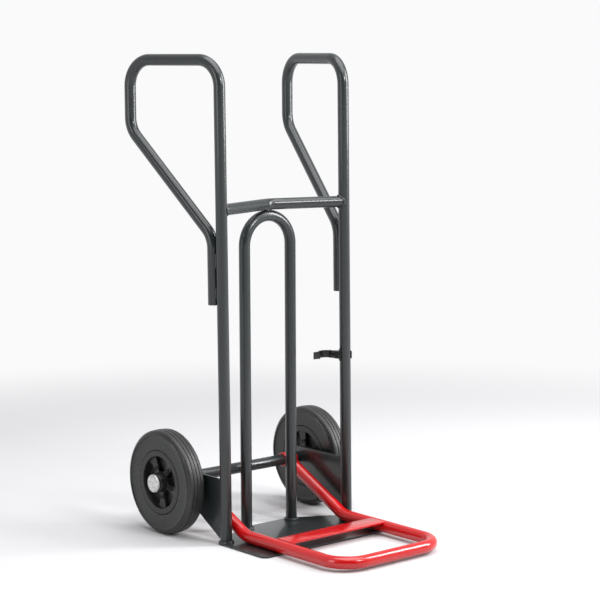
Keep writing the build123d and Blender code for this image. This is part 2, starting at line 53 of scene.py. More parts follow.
# %% [markdown]
# ## Sizes
# A tube bender works in millimetres, so the pieces are modelled in millimetres and scaled to
# metres when they are made. Most sizes are read from the frame's own boxes. The few that a
# box can't tell, such as a bend's radius, are named here once.

# %% Sizes read from the frame
MM = 0.001


def cad_box(node):
    """Lowest and highest corner of a part of the frame, in millimetres."""
    low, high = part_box(node)
    return low / MM, high / MM


low, high = cad_box("axle_tube")
R = (high.z - low.z) / 2
AXLE_Y = (low.y + high.y) / 2
AXLE_Z = (low.z + high.z) / 2
AXLE_TUBE_END = high.x

low, high = cad_box("left_side_tube")
UPRIGHT_X = low.x + R
GRIP_Z = high.z - R
REAR_X = high.x - R
REAR_Y = high.y - R

low, high = cad_box("upper_crossbar")
CROSSBAR_Z = (low.z + high.z) / 2
low, high = cad_box("centre_hoop")
HOOP_X = high.x - R
HOOP_Y = (low.y + high.y) / 2
PLATE_TOP = cad_box("toe_plate")[1].z
print("tube radius", round(R, 2), "uprights at", round(UPRIGHT_X, 1), "grips at", round(GRIP_Z, 1))

# %% Sizes that the boxes can't tell
TUBE_WALL = 2.5
TUBE_SIDES = 56
LEAN = radians(0.58)
GRIP_BEND = 62.0
KNEE_BEND = 62.0
REAR_KNEE_Z = 960.0
TAIL_KNEE_Z = 718.0
TAIL_END_Z = 561.0
CROSSBAR_AHEAD = 1.0
CROSSBAR_BEND = 48.0


def lean_y(z):
    """Y of an upright's centre line at height z."""
    return z * tan(LEAN)


grip_front = Vector((UPRIGHT_X, lean_y(GRIP_Z), GRIP_Z))
grip_rear = Vector((REAR_X, REAR_Y, GRIP_Z))
splay = (grip_rear - grip_front).normalized()
print("grip length", round((grip_rear - grip_front).length, 1))

# %% [markdown]
# ## Helpers for modelling
# Every shape starts as a ring, a turned outline or a flat outline, and grows by the same few
# mesh operators that the modelling menus offer: extrude, spin and bevel. Small helpers keep
# the later cells short. Each one hands back a bmesh, Blender's editable mesh.

# %% Bent tube: extrude the straight runs, spin the bends
def ring_edges(geometry):
    return [g for g in geometry if isinstance(g, bmesh.types.BMEdge)]


def run_tube(bm, edges, step):
    """Extrudes an open ring of edges by a vector and returns the new ring."""
    grown = bmesh.ops.extrude_edge_only(bm, edges=edges)["geom"]
    corners = [g for g in grown if isinstance(g, bmesh.types.BMVert)]
    bmesh.ops.translate(bm, verts=corners, vec=step)
    fresh = set(corners)
    return [e for e in ring_edges(grown) if e.verts[0] in fresh and e.verts[1] in fresh]


def bent_tube(points, bends, radius, around=48, turn_per_step=3.0):
    """Open tube along straight runs, with an arc of the given radius at each corner."""
    points = [Vector(p) for p in points]
    bm = bmesh.new()
    bmesh.ops.create_circle(bm, cap_ends=False, radius=radius, segments=around)
    heading = (points[1] - points[0]).to_track_quat("Z", "Y").to_matrix().to_4x4()
    bmesh.ops.transform(bm, matrix=Matrix.Translation(points[0]) @ heading, verts=bm.verts)
    edges, here = bm.edges[:], points[0]
    for corner, bend, before_point, after_point in zip(points[1:], bends, points, points[2:]):
        before = (corner - before_point).normalized()
        after = (after_point - corner).normalized()
        angle = before.angle(after)
        start = corner - before * bend * tan(angle / 2)
        edges = run_tube(bm, edges, start - here)
        axis = before.cross(after).normalized()
        centre = start + axis.cross(before) * bend
        corners = list({v for e in edges for v in e.verts})
        spun = bmesh.ops.spin(bm, geom=corners + edges, cent=centre, axis=axis, dvec=(0, 0, 0), angle=angle,
                              steps=ceil(angle / radians(turn_per_step)), use_merge=False)
        edges, here = ring_edges(spun["geom_last"]), corner + after * bend * tan(angle / 2)
    run_tube(bm, edges, points[-1] - here)
    bmesh.ops.recalc_face_normals(bm, faces=bm.faces)
    return bm


# %% Wall thickness for a tube, with softened cut ends
def with_modifier(bm, kind, **settings):
    """Applies one modifier to a bmesh."""
    mesh = bpy.data.meshes.new("work")
    bm.to_mesh(mesh)
    obj = bpy.data.objects.new("work", mesh)
    scene.collection.objects.link(obj)
    modifier = obj.modifiers.new("work", kind)
    for name, value in settings.items():
        setattr(modifier, name, value)
    result = bpy.data.meshes.new_from_object(obj.evaluated_get(bpy.context.evaluated_depsgraph_get()))
    bm.clear()
    bm.from_mesh(result)
    bpy.data.objects.remove(obj)
    bpy.data.meshes.remove(mesh)
    bpy.data.meshes.remove(result)
    return bm


def round_edges(bm, width, segments=2, sharper_than=30, where=None):
    """Bevels the edges that are sharper than an angle in degrees."""
    edges = [e for e in bm.edges if e.is_manifold and e.calc_face_angle() > radians(sharper_than)]
    edges = [e for e in edges if where is None or where(e)]
    bmesh.ops.bevel(bm, geom=edges, offset=width, offset_type="OFFSET", segments=segments, profile=0.5,
                    affect="EDGES", clamp_overlap=True, material=-1)
    return bm


def hollow_tube(points, bends, radius, wall, around=48):
    bm = bent_tube(points, bends, radius, around)
    with_modifier(bm, "SOLIDIFY", thickness=wall, offset=-1.0)
    return round_edges(bm, 0.5, sharper_than=60)


# %% Turned parts and flat plates
def turned(outline, steps=96, closed=True):
    """Spins an outline of (along the axle, radius) points a full turn about the X axis."""
    bm = bmesh.new()
    corners = [bm.verts.new((x, 0, r)) for x, r in outline]
    ends = corners[1:] + corners[:1] if closed else corners[1:]
    edges = [bm.edges.new(pair) for pair in zip(corners, ends)]
    bmesh.ops.spin(bm, geom=corners + edges, cent=(0, 0, 0), axis=(1, 0, 0), dvec=(0, 0, 0), angle=2 * pi,
                   steps=steps, use_merge=True)
    bmesh.ops.remove_doubles(bm, verts=bm.verts, dist=0.001)
    bmesh.ops.recalc_face_normals(bm, faces=bm.faces)
    return bm


def slab(outline, lift):
    """Closed plate: a flat outline raised by the vector lift."""
    bm = bmesh.new()
    face = bm.faces.new([bm.verts.new(p) for p in outline])
    raised = bmesh.ops.extrude_face_region(bm, geom=[face])["geom"]
    corners = [g for g in raised if isinstance(g, bmesh.types.BMVert)]
    bmesh.ops.translate(bm, verts=corners, vec=lift)
    bmesh.ops.recalc_face_normals(bm, faces=bm.faces)
    return bm


# %% Moving, joining and mirroring
def placed(bm, matrix):
    bmesh.ops.transform(bm, matrix=matrix, verts=bm.verts)
    if matrix.determinant() < 0:
        bmesh.ops.reverse_faces(bm, faces=bm.faces)
    return bm


def joined(*parts):
    """One bmesh that holds all the parts."""
    whole = bmesh.new()
    for part in parts:
        mesh = bpy.data.meshes.new("work")
        part.to_mesh(mesh)
        whole.from_mesh(mesh)
        bpy.data.meshes.remove(mesh)
        part.free()
    return whole


def on_side(bm, side):
    """Mirrors a left-hand shape to the right side of the truck where side is -1."""
    return bm if side > 0 else placed(bm, Matrix.Scale(-1, 4, (1, 0, 0)))


def at_axle(bm, x=0.0):
    return placed(bm, Matrix.Translation((x, AXLE_Y, AXLE_Z)))


# %% A finished piece: in metres, at the origin, riding on its body
SMOOTH_UNDER = radians(38)


def piece(name, bm, material, body, slot, *nodes):
    bmesh.ops.scale(bm, vec=(MM, MM, MM), verts=bm.verts)
    mesh = bpy.data.meshes.new(name)
    bm.to_mesh(mesh)
    bm.free()
    mesh.shade_smooth()
    mesh.set_sharp_from_angle(angle=SMOOTH_UNDER)
    mesh.materials.append(material)
    obj = bpy.data.objects.new(name, mesh)
    scene.collection.objects.link(obj)
    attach(obj, body)
    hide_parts(*nodes)
    print(f"{name}: {len(mesh.polygons)} faces on {body}")
    return obj


# %% [markdown]
# ## A small language for materials
# A material is a graph of nodes, and maths on it is easier to read as an expression. `Value`
# wraps one socket, so that `0.3 + 0.1 * grain` adds the Math nodes by itself. `Recipe` holds
# one node tree and adds any other node with one method.

# %% Values and recipes
class Value:
    """One output socket, with the operators that the recipes below use."""

    def __init__(self, recipe, socket):
        self.recipe = recipe
        self.socket = socket

    def maths(self, operation, first, second):
        return self.recipe.node("ShaderNodeMath", {"operation": operation}, {0: first, 1: second})

    def __add__(self, other):
        return self.maths("ADD", self, other)

    def __mul__(self, other):
        return self.maths("MULTIPLY", self, other)

    def __sub__(self, other):
        return self.maths("SUBTRACT", self, other)

    def __rsub__(self, other):
        return self.maths("SUBTRACT", other, self)

    __radd__ = __add__
    __rmul__ = __mul__


class Recipe:
    """The nodes of a material, or of the world where its tree is given.

    A material's patterns read Object coordinates, which are metres in the frame.
    """

    def __init__(self, name, tree=None, coordinates="Object"):
        if tree is None:
            self.material = bpy.data.materials.new(name)
            self.material.use_nodes = True
            tree = self.material.node_tree
        self.tree = tree
        self.tree.nodes.clear()
        self.place = self.node("ShaderNodeTexCoord", output=coordinates)

    def node(self, kind, settings=None, inputs=None, output=0):
        made = self.tree.nodes.new(kind)
        for name, value in (settings or {}).items():
            if name == "stops":
                self.set_stops(made.color_ramp, value)
            else:
                setattr(made, name, value)
        for name, value in (inputs or {}).items():
            if isinstance(value, Value):
                self.tree.links.new(value.socket, made.inputs[name])
            else:
                made.inputs[name].default_value = value
        return Value(self, made.outputs[output]) if made.outputs else None

    def set_stops(self, ramp, stops):
        ends = (ramp.elements[0], ramp.elements[1])
        for element, (position, tone) in zip(ends, (stops[0], stops[-1])):
            element.position, element.color = position, (tone, tone, tone, 1)
        for position, tone in stops[1:-1]:
            ramp.elements.new(position).color = (tone, tone, tone, 1)

    def noise(self, scale, detail=2.0, where=None, roughness=0.5):
        inputs = {"Vector": where or self.place, "Scale": scale, "Detail": detail, "Roughness": roughness}
        return self.node("ShaderNodeTexNoise", {}, inputs)

    def stretched(self, stretch):
        """Object coordinates scaled by three numbers, for streaks along one axis."""
        return self.node("ShaderNodeMapping", {}, {"Vector": self.place, "Scale": stretch})

    def ramp(self, value, *stops):
        return self.node("ShaderNodeValToRGB", {"stops": stops}, {"Fac": value})

    def blend(self, share, first, second):
        """Colour between two colours."""
        return self.node("ShaderNodeMix", {"data_type": "RGBA"}, {0: share, 6: first, 7: second}, output=2)

    def bump(self, height, depth, strength=1.0):
        return self.node("ShaderNodeBump", {}, {"Height": height, "Distance": depth, "Strength": strength})

    def finish(self, **sockets):
        """Adds the surface shader. Keyword names are the socket's name with underscores."""
        inputs = {name.replace("_", " "): value for name, value in sockets.items()}
        shader = self.node("ShaderNodeBsdfPrincipled", {}, inputs)
        self.node("ShaderNodeOutputMaterial", {}, {"Surface": shader})
        return self.material


def colour(red, green, blue):
    return (red, green, blue, 1.0)


def shade(tint, factor):
    return colour(*(min(1.0, c * factor) for c in tint[:3]))


# %% [markdown]
# ## Finishes
# Powder coat is thick, slightly rippled paint: its highlights break up a little, the film is
# thinner on edges, and handling leaves hair-fine rubs. The same recipe makes the dark frame
# and the glossier red toe frame, with different colours and gloss.

# %% Powder coat
def powder_coat(name, tint, roughness, coat, peel):
    m = Recipe(name)
    broad = m.noise(7.0, 3.0)
    ripple = m.noise(150.0, 1.0)
    specks = m.ramp(m.noise(1400.0, 1.0), (0.70, 0.0), (0.76, 1.0))
    rubs = m.ramp(m.noise(90.0, 5.0, None, 0.75), (0.64, 0.0), (0.70, 1.0))
    film = m.blend(0.25 + 0.5 * broad, shade(tint, 0.86), shade(tint, 1.12))
    film = m.blend(0.10 * rubs, film, shade(tint, 2.2))
    film = m.blend(0.25 * specks, film, shade(tint, 2.5))
    return m.finish(Base_Color=film, Roughness=roughness + 0.06 * broad + 0.02 * rubs, Coat_Weight=coat,
                    Coat_Roughness=0.10, Normal=m.bump(ripple, peel))


FRAME_GREY = colour(0.014, 0.0185, 0.0195)
TOE_RED = colour(0.50, 0.002, 0.0035)
frame_paint = powder_coat("anthracite powder coat", FRAME_GREY, 0.28, 0.30, 0.000006)
toe_paint = powder_coat("red powder coat", TOE_RED, 0.18, 0.40, 0.000008)
print("mixed", frame_paint.name, "and", toe_paint.name)

# %% [markdown]
# Solid tyre rubber is charcoal rather than black. Mould release leaves it satin, dust settles
# in its fine grain, and the sidewall carries faint turned rings from the mould. The rings are
# a wave of the distance from the axle, so each wheel needs its own centre.

# %% Tyre rubber
def tyre_rubber(name, tread_r):
    m = Recipe(name)
    to_axle = (0.0, -AXLE_Y * MM, -AXLE_Z * MM)
    centred = m.node("ShaderNodeMapping", {"vector_type": "POINT"},
                     {"Vector": m.place, "Location": to_axle, "Scale": (0.0, 1.0, 1.0)})
    radius = m.node("ShaderNodeVectorMath", {"operation": "LENGTH"}, {0: centred}, output="Value")
    turned_rings = m.noise(1.0, 2.0, m.node("ShaderNodeCombineXYZ", {}, {"X": radius * 900.0}))
    grain = m.noise(1500.0, 3.0)
    dust = m.ramp(m.noise(16.0, 5.0, None, 0.6), (0.42, 0.0), (0.75, 1.0))
    tread = m.ramp(radius * (1 / tread_r), (0.955, 0.0), (0.99, 1.0))
    rubber = m.blend(grain, colour(0.008, 0.009, 0.009), colour(0.014, 0.015, 0.015))
    rubber = m.blend(0.30 * dust + 0.30 * tread, rubber, colour(0.042, 0.042, 0.040))
    height = grain + 0.5 * turned_rings
    return m.finish(Base_Color=rubber, Roughness=0.25 + 0.16 * dust + 0.14 * tread,
                    Normal=m.bump(height, 0.00006))


# %% [markdown]
# The moulded parts are glass-filled nylon: near black, with a fine spark-eroded grain that
# scatters light softly. The clip is the same family of plastic, a little shinier where the
# tube rubs it.

# %% Moulded plastic
def moulded_plastic(name, tint, roughness, grain_depth):
    m = Recipe(name)
    grain = m.noise(1900.0, 2.0)
    flow = m.noise(22.0, 4.0, None, 0.55)
    scuff = m.ramp(m.noise(1.0, 4.0, m.stretched((260.0, 260.0, 1100.0)), 0.65), (0.60, 0.0), (0.74, 1.0))
    skin = m.blend(flow, shade(tint, 0.8), shade(tint, 1.35))
    skin = m.blend(0.20 * scuff, skin, shade(tint, 2.6))
    return m.finish(Base_Color=skin, Roughness=roughness + 0.12 * flow - 0.08 * scuff,
                    Normal=m.bump(grain, grain_depth))


rim_plastic = moulded_plastic("rim nylon", colour(0.014, 0.014, 0.015), 0.36, 0.00004)
clip_plastic = moulded_plastic("clip nylon", colour(0.007, 0.007, 0.008), 0.32, 0.00003)
cage_plastic = moulded_plastic("cage nylon", colour(0.060, 0.052, 0.044), 0.45, 0.00003)
print("mixed", rim_plastic.name, clip_plastic.name, "and", cage_plastic.name)

# %% [markdown]
# Zinc plate shows crystals: patches a few millimetres wide that each tilt the light their own
# way. A Voronoi texture gives every patch its own random tone, which shifts both the colour
# and the roughness. Ground steel has fine lines around the axle instead.

# %% Zinc and steel
def zinc_plate(name, patch, tone):
    m = Recipe(name)
    crystal = m.node("ShaderNodeTexVoronoi", {}, {"Vector": m.place, "Scale": patch, "Randomness": 1.0},
                     output="Color")
    crystal = m.node("ShaderNodeSeparateColor", {}, {"Color": crystal})
    bloom = m.noise(300.0, 4.0)
    metal = m.blend(0.7 * crystal + 0.3 * bloom, shade(tone, 0.58), shade(tone, 1.15))
    return m.finish(Base_Color=metal, Metallic=0.85, Roughness=0.36 + 0.24 * crystal,
                    Normal=m.bump(bloom + crystal, 0.00004))


def ground_steel(name, tone):
    m = Recipe(name)
    lines = m.noise(1.0, 3.0, m.stretched((4200.0, 60.0, 60.0)))
    stain = m.noise(40.0, 4.0)
    metal = m.blend(stain, shade(tone, 0.85), tone)
    return m.finish(Base_Color=metal, Metallic=1.0, Roughness=0.22 + 0.16 * lines,
                    Normal=m.bump(lines, 0.00002))


cap_zinc = zinc_plate("zinc plated cap", 240.0, colour(0.74, 0.74, 0.73))
washer_zinc = zinc_plate("zinc plated washer", 700.0, colour(0.62, 0.63, 0.64))
shaft_steel = ground_steel("ground steel", colour(0.60, 0.60, 0.61))
print("mixed", cap_zinc.name, washer_zinc.name, "and", shaft_steel.name)

# %% [markdown]
# ## Side tubes
# Each side of the truck is one long tube. It rises from the toe plate, turns back into the
# level grip, drops, slants forward and ends in a tail that lies against the upright. The grips
# splay outwards, so the whole loop stands in a plane that is turned a few degrees.

# %% Side tubes
def side_tube_points():
    rear_knee = Vector((REAR_X, REAR_Y, REAR_KNEE_Z))
    tail_knee = Vector((UPRIGHT_X, lean_y(TAIL_KNEE_Z), TAIL_KNEE_Z)) + splay * 2 * R
    tail_end = Vector((UPRIGHT_X, lean_y(TAIL_END_Z), TAIL_END_Z)) + splay * 2 * R
    foot = Vector((UPRIGHT_X, lean_y(PLATE_TOP), PLATE_TOP))
    return [foot, grip_front, grip_rear, rear_knee, tail_knee, tail_end]


for side, hand in ((1, "left"), (-1, "right")):
    tube = hollow_tube(side_tube_points(),
                       [GRIP_BEND, GRIP_BEND, KNEE_BEND, KNEE_BEND], R, TUBE_WALL, TUBE_SIDES)
    piece(f"{hand}_handle_tube", on_side(tube, side), frame_paint, "truck_frame", "frame_paint",
          f"{hand}_side_tube")

# %% [markdown]
# ## Crossbar and hoop
# The crossbar is bent once in the middle, so that a round load sits in it. The hoop is a plain
# U on its head, and it touches the crossbar from below. Both end against other tubes, so their
# open ends run a little way into them, where the cut can't be seen.

# %% Crossbar and hoop
crossbar_end = Vector((UPRIGHT_X, lean_y(CROSSBAR_Z), CROSSBAR_Z))
crossbar_mid = Vector((0, HOOP_Y - CROSSBAR_AHEAD, CROSSBAR_Z))
crossbar_way = (crossbar_mid - crossbar_end).normalized()
INTO_UPRIGHT = R - TUBE_WALL / 2


def crossbar_points():
    start = crossbar_end + crossbar_way * INTO_UPRIGHT * 0.4
    return [start, crossbar_mid, Vector((-start.x, start.y, start.z))]


crossbar = bent_tube(crossbar_points(), [CROSSBAR_BEND], R, TUBE_SIDES)
piece("crossbar_tube", crossbar, frame_paint, "truck_frame", "frame_paint", "upper_crossbar")

hoop_top = CROSSBAR_Z - 2 * R
hoop_points = [(HOOP_X, HOOP_Y, PLATE_TOP), (HOOP_X, HOOP_Y, hoop_top),
               (-HOOP_X, HOOP_Y, hoop_top), (-HOOP_X, HOOP_Y, PLATE_TOP)]
ALMOST = 0.9999  # leaves a hair of straight tube between the hoop's two bends
hoop = bent_tube(hoop_points, [HOOP_X * ALMOST, HOOP_X * ALMOST], R, TUBE_SIDES)
piece("hoop_tube", hoop, frame_paint, "truck_frame", "frame_paint", "centre_hoop")

# %% [markdown]
# ## Plates
# Laser-cut plates have square edges that the powder coat rounds slightly. A flat outline is
# extruded by the plate's thickness, its corners are broken, and a fine bevel catches the light.

# %% Toe plate and side plates
low, high = cad_box("toe_plate")
PLATE_CHAMFER = 9.0
PLATE_SIDE_BACK = R - 2.5
PLATE_TAB_X = HOOP_X + 3.0
half = [
    (high.x - PLATE_CHAMFER, low.y),
    (high.x, low.y + PLATE_CHAMFER),
    (high.x, PLATE_SIDE_BACK),
    (PLATE_TAB_X, high.y),
]
outline = [(x, y, low.z) for x, y in half] + [(-x, y, low.z) for x, y in reversed(half)]
plate = slab(outline, (0, 0, high.z - low.z))
round_edges(plate, 3.0, 4, 15, lambda e: abs((e.verts[0].co - e.verts[1].co).z) > 1)
round_edges(plate, 0.7, 3, 60)
piece("toe_plate_steel", plate, frame_paint, "truck_frame", "frame_paint", "toe_plate")

REAR_CORNER_BELOW_AXLE = 6.0
for side, hand in ((1, "left"), (-1, "right")):
    low, high = cad_box("left_side_plate")
    outline = [
        (low.x, R * 0.6, PLATE_TOP),
        (low.x, R, PLATE_TOP),
        (low.x, high.y, AXLE_Z - REAR_CORNER_BELOW_AXLE),
        (low.x, high.y, high.z),
        (low.x, R * 0.6, high.z),
    ]
    gusset = slab(outline, (high.x - low.x, 0, 0))
    round_edges(gusset, 2.5, 4, 15, lambda e: abs((e.verts[0].co - e.verts[1].co).x) > 1)
    round_edges(gusset, 0.6, 3, 60)
    piece(f"{hand}_axle_plate", on_side(gusset, side), frame_paint, "truck_frame", "frame_paint",
          f"{hand}_side_plate")

axle_ends = [(-AXLE_TUBE_END, AXLE_Y, AXLE_Z), (AXLE_TUBE_END, AXLE_Y, AXLE_Z)]
axle_tube = hollow_tube(axle_ends, [], R, TUBE_WALL, TUBE_SIDES)
piece("axle_housing", axle_tube, frame_paint, "truck_frame", "frame_paint", "axle_tube")

# %% [markdown]
# ## Weld beads
# A weld bead is a row of overlapping pools that froze one after another. A curve with a round
# section follows the seam, and its radius rises and falls once per pool. Each seam is a short
# formula: a circle at a foot, a straight stitch, or the saddle line where two tubes meet.

# %% Rippled beads along a seam
POOL = 2.6
POOL_STEPS = 5


def bead(seam, length, radius, closed=False):
    """Bead along seam(t), for t from 0 to 1. A closed bead joins up with itself."""
    pools = max(3, round(length / POOL))
    count = pools * POOL_STEPS
    curve = bpy.data.curves.new("bead", "CURVE")
    curve.dimensions = "3D"
    curve.bevel_depth = radius
    curve.bevel_resolution = 2
    curve.use_fill_caps = not closed
    spline = curve.splines.new("POLY")
    spline.points.add(count - 1)
    for i, point in enumerate(spline.points):
        t = i / count if closed else i / (count - 1)
        step = (i % POOL_STEPS) / POOL_STEPS
        fade = 1.0 if closed else min(1.0, 0.45 + 6.0 * min(t, 1 - t))
        point.co = (*seam(t), 1.0)
        point.radius = fade * (1.04 - 0.17 * step + 0.04 * sin(9 * t * pi))
    spline.use_cyclic_u = closed
    obj = bpy.data.objects.new("bead", curve)
    scene.collection.objects.link(obj)
    mesh = bpy.data.meshes.new_from_object(obj.evaluated_get(bpy.context.evaluated_depsgraph_get()))
    bm = bmesh.new()
    bm.from_mesh(mesh)
    bpy.data.objects.remove(obj)
    bpy.data.curves.remove(curve)
    bpy.data.meshes.remove(mesh)
    bmesh.ops.remove_doubles(bm, verts=bm.verts, dist=0.01)
    bmesh.ops.recalc_face_normals(bm, faces=bm.faces)
    return bm


# %% Seams of the frame
BEAD_R = 3.1
BEAD_OUT = 1.0
SIDE_PLATE_FACE = cad_box("left_side_plate")[1].x
TAIL_WELDS = ((TAIL_END_Z + 16, TAIL_END_Z + 40), (TAIL_KNEE_Z - 72, TAIL_KNEE_Z - 36))


def foot_seam(x, y):
    reach = R + BEAD_OUT
    height = PLATE_TOP + BEAD_OUT
    return lambda t: Vector((x + reach * cos(2 * pi * t), y + reach * sin(2 * pi * t), height))


def axle_seam(t):
    """Circle round the axle tube, on the outer face of the side plate."""
    reach = R + 0.6
    return Vector((SIDE_PLATE_FACE + BEAD_OUT * 0.5, AXLE_Y + reach * cos(2 * pi * t),
                   AXLE_Z + reach * sin(2 * pi * t)))


def saddle_seam(end, way, bar_r, post_r, up):
    """Seam of a bar of bar_r that leaves a post along way. The post's axis is level with up."""
    across = way.cross(up).normalized()

    def seam(t):
        wide = (bar_r + BEAD_OUT * 0.6) * cos(2 * pi * t)
        tall = (bar_r + BEAD_OUT * 0.6) * sin(2 * pi * t)
        out = sqrt(max((post_r + BEAD_OUT) ** 2 - wide ** 2, 1.0))
        return end + across * wide + up * tall + way * out
    return seam


def straight_seam(start, end):
    return lambda t: Vector(start).lerp(Vector(end), t)


def tail_seam(low_z, high_z, hand):
    """Groove between the tail and the upright, on one hand of the loop's plane."""
    across = splay.cross(Vector((0, 0, 1)))
    groove = across * hand * 6.4

    def at(z):
        return Vector((UPRIGHT_X, lean_y(z), z)) + splay * R + groove
    return straight_seam(at(low_z), at(high_z))


def frame_beads():
    """All the beads of the left half of the frame, apart from those in the middle."""
    around = 2 * pi * R
    up = Vector((0, 0, 1))
    beads = [
        bead(foot_seam(UPRIGHT_X, lean_y(PLATE_TOP)), around, BEAD_R + 0.6, True),
        bead(foot_seam(HOOP_X, HOOP_Y), around, BEAD_R, True),
        bead(saddle_seam(crossbar_end, crossbar_way, R, R, up), around * 1.3, BEAD_R * 0.85, True),
        bead(axle_seam, around, 2.3, True),
    ]
    for low_z, high_z in TAIL_WELDS:
        for hand in (1, -1):
            beads.append(bead(tail_seam(low_z, high_z, hand), high_z - low_z, 2.6))
    return beads


beads = [on_side(b, side) for side in (1, -1) for b in frame_beads()]
for hand in (1, -1):
    y, z = HOOP_Y + hand * 6.6, CROSSBAR_Z - R
    beads.append(bead(straight_seam((-7, y, z), (7, y, z)), 14, 2.6))
piece("frame_weld_beads", joined(*beads), frame_paint, "truck_frame", "frame_paint", "frame_welds")

# %% [markdown]
# ## Tyres
# A solid tyre is a turned shape. Its outline runs from the middle of the tread, over three
# ribs, round the shoulder, past the raised ring on the sidewall, and in to the rim. The hard
# corners are rounded after the spin, each group by the amount that the mould shows.

# %% Tyres
low, high = cad_box("left_tyre")
WHEEL_X = (low.x + high.x) / 2
WHEEL_R = (high.z - low.z) / 2
TYRE_HALF = (high.x - low.x) / 2
RIM_R = 77.0
TREAD_GROOVE = 0.9
GROOVE_X = 9.5
GROOVE_DEPTH = 2.0
SIDE_RIB = (111.4, 115.2)
SIDE_RIB_T = 2.0
SHOULDER = 9.0
RIM_HALF = 22.0


def tyre_half():
    """Outline of the outer half, from the middle groove to the rim."""
    wall = TYRE_HALF - SIDE_RIB_T
    tread = WHEEL_R - 0.35
    turns = [radians(a) for a in (90, 72, 54, 36, 18, 0)]
    shoulder = [(wall - SHOULDER * (1 - cos(a)), tread - 0.4 - SHOULDER * (1 - sin(a))) for a in turns]
    return [
        (TREAD_GROOVE, WHEEL_R - GROOVE_DEPTH),
        (TREAD_GROOVE, WHEEL_R - 0.02),
        (GROOVE_X - TREAD_GROOVE, tread),
        (GROOVE_X - TREAD_GROOVE, WHEEL_R - GROOVE_DEPTH),
        (GROOVE_X + TREAD_GROOVE, WHEEL_R - GROOVE_DEPTH),
        (GROOVE_X + TREAD_GROOVE, tread - 0.25),
        *shoulder,
        (TYRE_HALF, SIDE_RIB[1] - 0.8),
        (TYRE_HALF, SIDE_RIB[0] + 0.8),
        (wall - 0.4, SIDE_RIB[0] - 0.6),
        (wall - 0.9, 106.0),
        (wall - 1.2, 97.0),
        (wall - 1.3, 87.0),
        (wall - 1.5, RIM_R + 2.0),
        (RIM_HALF - 0.4, RIM_R + 0.9),
        (RIM_HALF - 2.5, RIM_R),
    ]


def tyre():
    half = tyre_half()
    bm = turned(half + [(-x, r) for x, r in reversed(half)], 128)
    return round_edges(bm, 0.5, 3, 40)


for side, hand in ((1, "left"), (-1, "right")):
    piece(f"{hand}_tyre_rubber", on_side(at_axle(tyre(), WHEEL_X), side),
          tyre_rubber(f"{hand} tyre rubber", WHEEL_R * MM), f"{hand}_wheel", "tyre_rubber", f"{hand}_tyre")

# %% [markdown]
# ## Rims
# The rim is one moulding: a barrel with a flat ring on each face, a hub, a thin web between
# them, and five spokes like petals on it, narrow at the hub and wide at the barrel. A petal
# starts as a small rectangle, is extruded outwards station by station, and then has its long
# edges rounded. Near the hub it carries a small round boss, where a pin pushed the moulding out.

# %% Rims
low, high = cad_box("left_rim")
HUB_IN = WHEEL_X - low.x
HUB_OUT = high.x - WHEEL_X
HUB_R = 24.5
HUB_BORE = 15.08
WINDOW_R = 62.5
SPOKES = 5
SPOKE_TURN = {1: 21.0, -1: 0.0}
WEB = 2.5
# distance from the axle, half width and half thickness of a petal
PETAL = ((22.0, 9.8, 15.4), (26.5, 7.8, 14.2), (38.0, 9.2, 12.6),
         (50.0, 12.2, 12.2), (58.0, 14.4, 12.8), (64.0, 18.0, 13.8))
BOSS_AT = 36.0
BOSS_R = 5.4


def petal(turn):
    bm = bmesh.new()
    distance, wide, thick = PETAL[0]
    corners = [bm.verts.new((x, y, distance)) for x, y in
               ((-thick, -wide), (thick, -wide), (thick, wide), (-thick, wide))]
    face = bm.faces.new(corners)
    for (r0, w0, t0), (r1, w1, t1) in zip(PETAL, PETAL[1:]):
        grown = bmesh.ops.extrude_face_region(bm, geom=[face])["geom"]
        tip = [g for g in grown if isinstance(g, bmesh.types.BMVert)]
        bmesh.ops.scale(bm, vec=(t1 / t0, w1 / w0, 1.0), verts=tip)
        bmesh.ops.translate(bm, vec=(0, 0, r1 - r0), verts=tip)
        face = next(g for g in grown if isinstance(g, bmesh.types.BMFace))
    bmesh.ops.recalc_face_normals(bm, faces=bm.faces)
    round_edges(bm, 1.6, 3, 40, lambda e: abs(e.verts[0].co.z - e.verts[1].co.z) > 1)
    for hand in (1, -1):
        pin = turned([(9.0, 0), (13.4, 0), (13.4, 2.0), (11.6, 2.6), (11.6, BOSS_R - 1.3),
                      (14.6, BOSS_R - 0.9), (14.6, BOSS_R), (9.0, BOSS_R)], 24, closed=False)
        bm = joined(bm, placed(on_side(pin, hand), Matrix.Translation((0, 0, BOSS_AT))))
    bmesh.ops.rotate(bm, cent=(0, 0, 0), matrix=Matrix.Rotation(radians(turn), 3, "X"), verts=bm.verts)
    return bm


def rim(first_turn):
    barrel = turned([
        (-RIM_HALF, WINDOW_R + 0.6), (-RIM_HALF, RIM_R - 0.6),
        (RIM_HALF, RIM_R - 0.6), (RIM_HALF, WINDOW_R + 0.6),
        (RIM_HALF - 1.4, WINDOW_R), (0, WINDOW_R - 0.5), (1.4 - RIM_HALF, WINDOW_R),
    ])
    round_edges(barrel, 0.9, 3, 40)
    hub = turned([
        (-HUB_IN, HUB_BORE), (-HUB_IN, HUB_R - 2.5), (-HUB_IN + 4.0, HUB_R - 1.0), (-6.0, HUB_R),
        (6.0, HUB_R), (HUB_OUT - 4.0, HUB_R - 1.0), (HUB_OUT, HUB_R - 2.5), (HUB_OUT, HUB_BORE),
    ])
    round_edges(hub, 0.7, 3, 25)
    web = turned([(-WEB, HUB_R - 1), (-WEB, WINDOW_R + 1), (WEB, WINDOW_R + 1), (WEB, HUB_R - 1)])
    petals = [petal(first_turn + i * 360 / SPOKES) for i in range(SPOKES)]
    return joined(barrel, hub, web, *petals)


